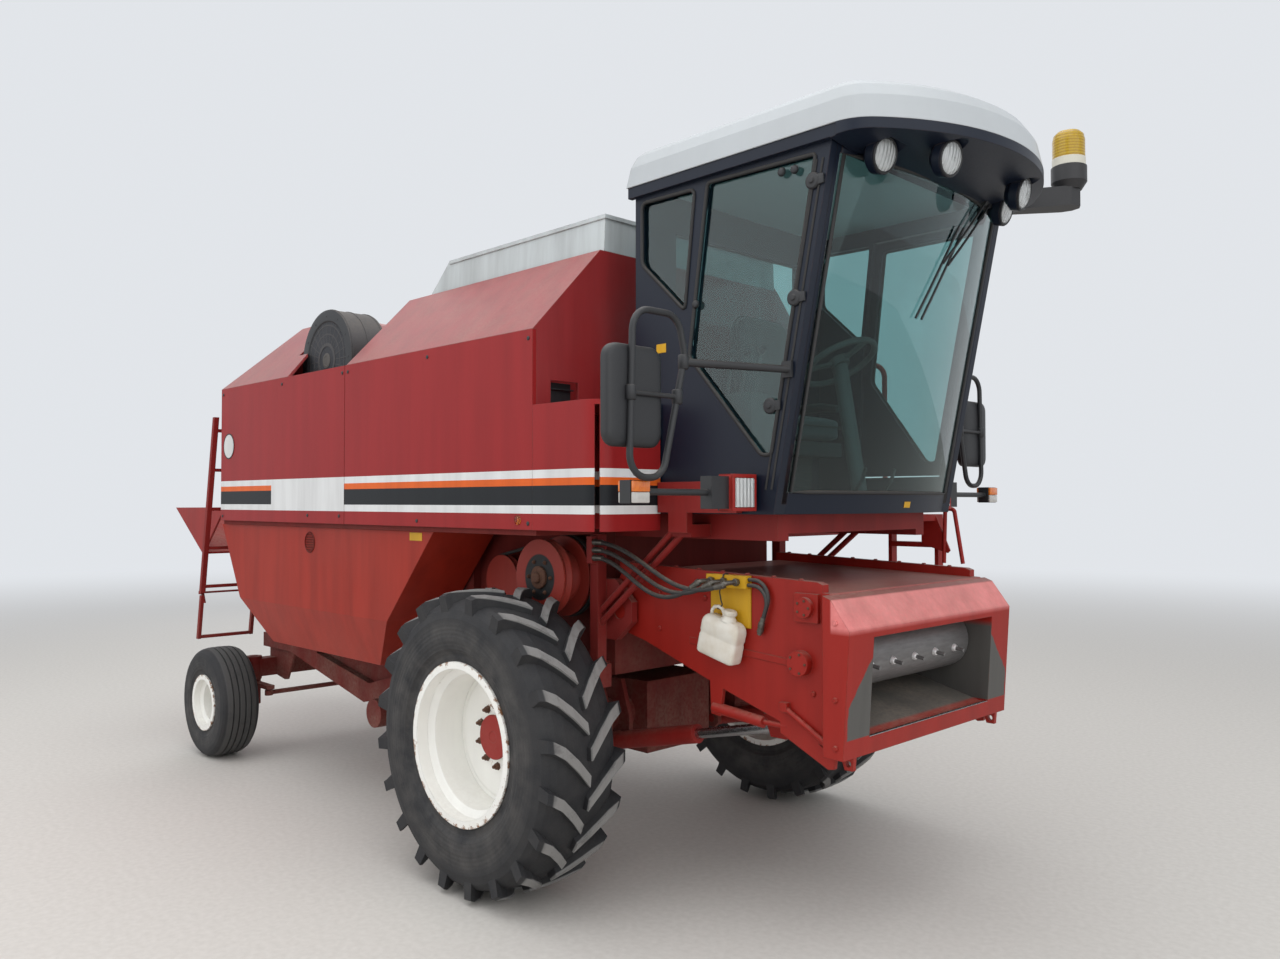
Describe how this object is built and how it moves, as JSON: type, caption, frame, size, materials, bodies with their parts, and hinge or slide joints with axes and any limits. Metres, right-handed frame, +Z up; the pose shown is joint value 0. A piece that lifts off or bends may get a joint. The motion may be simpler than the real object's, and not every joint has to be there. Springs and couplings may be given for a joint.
{
  "type": "combine harvester",
  "caption": "Self-propelled grain harvester with cab, feeder house, grain tank, folding unloading auger, steered rear axle, hinged covers and turning wheels; header removed.",
  "frame": {"origin": "on the ground, at the middle of the machine's length and width", "axes": "+X forwards, the way the machine drives; +Y to its left; +Z up"},
  "size_m": [6.978, 3.34, 3.893],
  "materials": {
    "red_paint": "faded gloss red enamel",
    "dark_red_paint": "dusty red enamel on chassis parts",
    "cream_paint": "cream white enamel",
    "black_paint": "satin navy black enamel",
    "bare_steel": "worn bare steel",
    "tyre_rubber": "dusty tyre rubber",
    "tinted_glass": "green tinted safety glass",
    "seat_cloth": "dark seat cloth",
    "black_plastic": "moulded black plastic",
    "hose_rubber": "black hydraulic hose",
    "lamp_plastic": "lamp lenses and housings",
    "amber_plastic": "amber beacon dome",
    "yellow_paint": "yellow enamel plate",
    "white_plastic": "dusty white plastic can"
  },
  "bodies": {
    "root": {"front_axle": "dark_red_paint", "chassis": "red_paint", "cab_frame": "red_paint", "threshing_body": "dark_red_paint", "side_panel_left": "red_paint", "side_panel_right": "red_paint", "corner_panel": "red_paint", "grain_tank": "red_paint", "tank_extension": "cream_paint", "engine_hood": "red_paint", "engine": "dark_red_paint", "air_duct": "red_paint", "cab_shell": "black_paint", "roof_cap": "cream_paint", "roof_visor": "black_plastic", "windscreen": "tinted_glass", "cab_panes": "tinted_glass", "operator_seat": "seat_cloth", "cab_controls": "black_plastic", "rear_axle": "dark_red_paint", "side_platform": "red_paint", "mirror_left": "black_plastic", "mirror_right": "black_plastic", "lamp_bar_left": "black_plastic", "lamp_bar_right": "black_plastic", "work_lamps": "lamp_plastic", "beacon": "amber_plastic", "rear_ladder": "dark_red_paint", "straw_hood": "red_paint", "drive_pulleys": "dark_red_paint", "auger_upright": "red_paint", "hydraulic_hoses": "hose_rubber"},
    "feeder": {"feeder_house": "red_paint", "coupler_plate": "yellow_paint", "canister": "white_plastic"},
    "feeder_drum": {"feeder_drum": "bare_steel"},
    "lift_barrel_left": {"lift_barrel_left": "red_paint"},
    "lift_barrel_right": {"lift_barrel_right": "red_paint"},
    "lift_rod_left": {"lift_rod_left": "bare_steel"},
    "lift_rod_right": {"lift_rod_right": "bare_steel"},
    "wheel_front_left": {"tyre_front_left": "tyre_rubber", "rim_front_left": "cream_paint"},
    "wheel_front_right": {"tyre_front_right": "tyre_rubber", "rim_front_right": "cream_paint"},
    "wheel_rear_left": {"tyre_rear_left": "tyre_rubber", "rim_rear_left": "cream_paint"},
    "wheel_rear_right": {"tyre_rear_right": "tyre_rubber", "rim_rear_right": "cream_paint"},
    "knuckle_left": {"knuckle_left": "dark_red_paint"},
    "knuckle_right": {"knuckle_right": "dark_red_paint"},
    "track_rod": {"track_rod": "dark_red_paint"},
    "rotary_screen": {"rotary_screen": "black_paint"},
    "lower_cover_left": {"lower_cover_left": "red_paint"},
    "lower_cover_right": {"lower_cover_right": "red_paint"},
    "cab_door": {"cab_door": "black_paint", "cab_door_glass": "tinted_glass"},
    "rear_ladder_step": {"rear_ladder_step": "dark_red_paint"},
    "straw_deflector": {"straw_deflector": "red_paint"},
    "unloading_auger": {"unloading_auger": "red_paint"}
  },
  "joints": [
    {"name": "front_left_wheel_spin", "type": "hinge", "parent": "root", "child": "wheel_front_left", "pos_m": [1.241, 1.1825, 0.758], "axis": [0, 1, 0], "continuous": true},
    {"name": "front_right_wheel_spin", "type": "hinge", "parent": "root", "child": "wheel_front_right", "pos_m": [1.241, -1.1825, 0.758], "axis": [0, 1, 0], "continuous": true},
    {"name": "steering_left", "type": "hinge", "parent": "root", "child": "knuckle_left", "pos_m": [-2.437, 0.82, 0.64], "axis": [0, 0, 1], "range_deg": [-35, 35]},
    {"name": "steering_right", "type": "hinge", "parent": "root", "child": "knuckle_right", "pos_m": [-2.437, -0.82, 0.64], "axis": [0, 0, 1], "range_deg": [-36, 36]},
    {"name": "track_rod_swing", "type": "hinge", "parent": "knuckle_left", "child": "track_rod", "pos_m": [-2.157, 0.82, 0.52], "axis": [0, 0, 1], "range_deg": [-36, 36]},
    {"name": "rear_left_wheel_spin", "type": "hinge", "parent": "knuckle_left", "child": "wheel_rear_left", "pos_m": [-2.437, 1.078, 0.415], "axis": [0, 1, 0], "continuous": true},
    {"name": "rear_right_wheel_spin", "type": "hinge", "parent": "knuckle_right", "child": "wheel_rear_right", "pos_m": [-2.437, -1.078, 0.415], "axis": [0, 1, 0], "continuous": true},
    {"name": "feeder_lift", "type": "hinge", "parent": "root", "child": "feeder", "pos_m": [1.701, 0, 1.4], "axis": [0, -1, 0], "range_deg": [-20, 8]},
    {"name": "feeder_drum_spin", "type": "hinge", "parent": "feeder", "child": "feeder_drum", "pos_m": [2.801, 0, 1.257], "axis": [0, 1, 0], "continuous": true},
    {"name": "lift_barrel_left_swing", "type": "hinge", "parent": "root", "child": "lift_barrel_left", "pos_m": [1.361, 0.45, 0.64], "axis": [0, -1, 0], "range_deg": [-13, 6]},
    {"name": "lift_barrel_right_swing", "type": "hinge", "parent": "root", "child": "lift_barrel_right", "pos_m": [1.361, -0.45, 0.64], "axis": [0, -1, 0], "range_deg": [-13, 6]},
    {"name": "lift_rod_left_slide", "type": "slide", "parent": "lift_barrel_left", "child": "lift_rod_left", "axis": [0.9757, 0, 0.2191], "range_m": [-0.255, 0.105]},
    {"name": "lift_rod_right_slide", "type": "slide", "parent": "lift_barrel_right", "child": "lift_rod_right", "axis": [0.9757, 0, 0.2191], "range_m": [-0.255, 0.105]},
    {"name": "cab_door_swing", "type": "hinge", "parent": "root", "child": "cab_door", "pos_m": [2.672, 0.784, 2.05], "axis": [-0.1959, 0, -0.9806], "range_deg": [0, 55]},
    {"name": "lower_cover_left_lift", "type": "hinge", "parent": "root", "child": "lower_cover_left", "pos_m": [1.241, 1.152, 1.781], "axis": [1, 0, 0], "range_deg": [0, 80]},
    {"name": "lower_cover_right_lift", "type": "hinge", "parent": "root", "child": "lower_cover_right", "pos_m": [1.241, -1.152, 1.781], "axis": [-1, 0, 0], "range_deg": [0, 80]},
    {"name": "rotary_screen_spin", "type": "hinge", "parent": "root", "child": "rotary_screen", "pos_m": [-0.909, -1, 2.915], "axis": [0, 1, 0], "continuous": true},
    {"name": "unloading_auger_swing", "type": "hinge", "parent": "root", "child": "unloading_auger", "pos_m": [1.181, 1.02, 3.235], "axis": [0, 0, -1], "range_deg": [0, 95]},
    {"name": "rear_ladder_step_fold", "type": "hinge", "parent": "root", "child": "rear_ladder_step", "pos_m": [-2.5486, -0.995, 1.25], "axis": [0, 1, 0], "range_deg": [0, 170]},
    {"name": "straw_deflector_tilt", "type": "hinge", "parent": "root", "child": "straw_deflector", "pos_m": [-2.504, 0, 1.9], "axis": [0, -1, 0], "range_deg": [0, 20]}
  ],
  "couplings": [
    {"joint": "steering_right", "follows": "steering_left", "ratio": 1},
    {"joint": "track_rod_swing", "follows": "steering_left", "ratio": -1},
    {"joint": "lift_barrel_left_swing", "follows": "feeder_lift", "ratio": 0.603},
    {"joint": "lift_barrel_right_swing", "follows": "feeder_lift", "ratio": 0.603},
    {"joint": "lift_rod_left_slide", "follows": "feeder_lift", "m_per_rad": 0.7003},
    {"joint": "lift_rod_right_slide", "follows": "feeder_lift", "m_per_rad": 0.7003}
  ]
}
